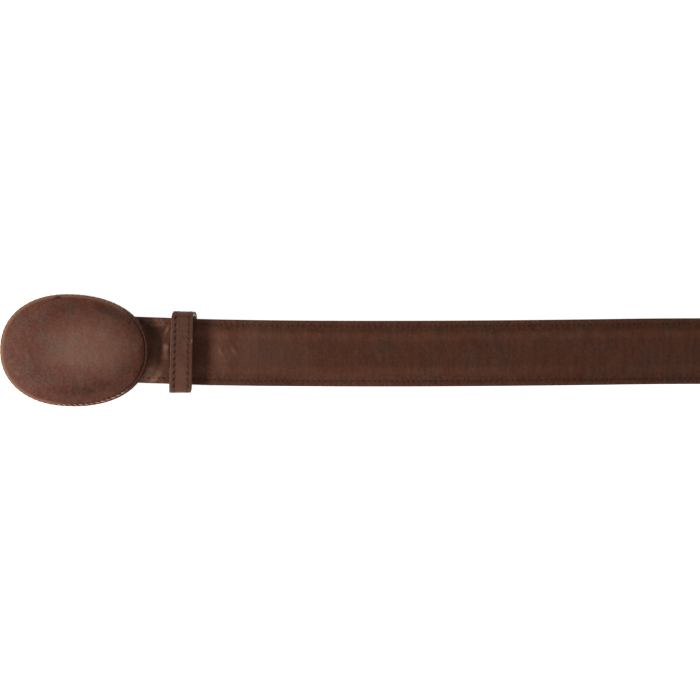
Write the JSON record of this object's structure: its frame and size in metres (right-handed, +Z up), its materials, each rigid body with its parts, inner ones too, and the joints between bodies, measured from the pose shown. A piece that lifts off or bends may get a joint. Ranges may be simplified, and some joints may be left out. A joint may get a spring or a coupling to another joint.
{
  "type": "western belt",
  "caption": "Padded leather western belt with a leather-covered oval buckle, a stitched keeper and a punched strap end.",
  "frame": {"origin": "bottom centre of the belt's box, on the surface that it lies on", "axes": "+X along the belt from the buckle to the tip, +Y across the strap, +Z up through the belt's face"},
  "size_m": [1.082, 0.0644, 0.0201],
  "materials": {
    "strap_leather": "matte oiled pull-up leather, dark brown, mottled",
    "keeper_leather": "matte oiled leather, dark brown, stitched in two rows",
    "buckle_leather": "matte oiled leather drawn over a dome, worn lighter on top",
    "lining_leather": "natural undyed leather, matte",
    "metal": "plain nickel-plated steel, satin"
  },
  "bodies": {
    "root": {"strap": "strap_leather", "keeper": "keeper_leather", "keeper_lining": "lining_leather", "snap_1": "metal", "snap_2": "metal"},
    "buckle": {"buckle_cover": "buckle_leather", "buckle_plate": "metal", "buckle_backing": "buckle_leather"}
  },
  "joints": [
    {"name": "buckle_swing", "type": "hinge", "parent": "root", "child": "buckle", "pos_m": [-0.47334, 0.00075, 0.00515], "axis": [0.0366, 0.9993, 0], "range_deg": [0, 12]}
  ]
}
